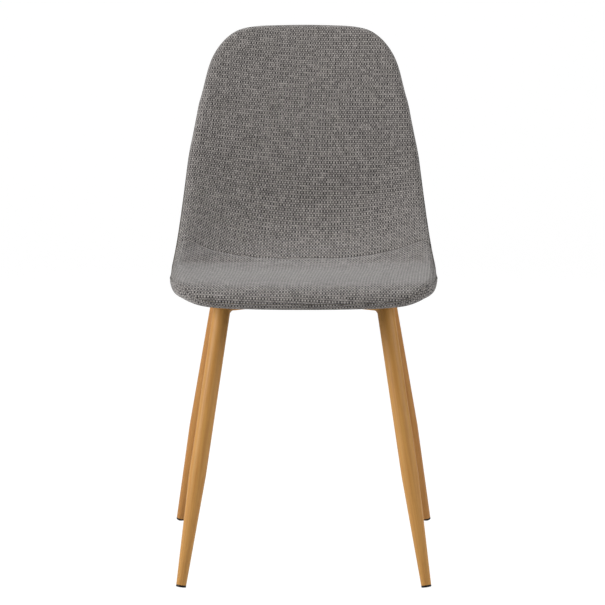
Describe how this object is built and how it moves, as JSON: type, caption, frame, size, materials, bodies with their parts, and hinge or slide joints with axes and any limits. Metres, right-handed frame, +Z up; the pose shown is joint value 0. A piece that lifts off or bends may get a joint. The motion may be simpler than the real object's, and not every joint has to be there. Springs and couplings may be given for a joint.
{
  "type": "upholstered side chair",
  "caption": "Dining side chair: one padded, fabric-covered shell for seat and back on a crossed steel frame with splayed, tapering round legs.",
  "frame": {"origin": "on the floor, under the middle of the chair's bounding box", "axes": "+Z up from the floor, -Y towards the front of the seat where the sitter's knees are, +X to the right of someone who faces the chair"},
  "size_m": [0.447, 0.5314, 0.8659],
  "materials": {
    "front_fabric": "coarse woven grey-beige melange upholstery fabric",
    "back_fabric": "coarse woven grey-beige melange upholstery fabric",
    "foam": "cut polyurethane foam, hidden",
    "plywood": "bare bent plywood, hidden",
    "felt": "needled felt, hidden",
    "wood_film_steel": "steel tube with a satin oak-grain film",
    "black_plastic": "moulded, fine satin",
    "zinc_steel": "bright zinc plate",
    "black_rubber": "matte"
  },
  "bodies": {
    "root": {"front_cover": "front_fabric", "seat_and_back_foam": "foam", "plywood_shell": "plywood", "back_padding": "felt", "back_cover": "back_fabric", "through_arm": "wood_film_steel", "front_half_arm": "wood_film_steel", "rear_half_arm": "wood_film_steel", "front_left_leg": "wood_film_steel", "front_right_leg": "wood_film_steel", "rear_left_leg": "wood_film_steel", "rear_right_leg": "wood_film_steel", "front_left_leg_cap": "wood_film_steel", "front_right_leg_cap": "wood_film_steel", "rear_left_leg_cap": "wood_film_steel", "rear_right_leg_cap": "wood_film_steel", "front_left_glide": "black_plastic", "front_right_glide": "black_plastic", "rear_left_glide": "black_plastic", "rear_right_glide": "black_plastic", "front_left_bolt": "zinc_steel", "front_right_bolt": "zinc_steel", "rear_left_bolt": "zinc_steel", "rear_right_bolt": "zinc_steel", "front_left_washer": "zinc_steel", "front_right_washer": "zinc_steel", "rear_left_washer": "zinc_steel", "rear_right_washer": "zinc_steel", "front_left_tee_nut": "zinc_steel", "front_right_tee_nut": "zinc_steel", "rear_left_tee_nut": "zinc_steel", "rear_right_tee_nut": "zinc_steel", "front_left_spacer": "black_rubber", "front_right_spacer": "black_rubber", "rear_left_spacer": "black_rubber", "rear_right_spacer": "black_rubber"}
  },
  "joints": []
}
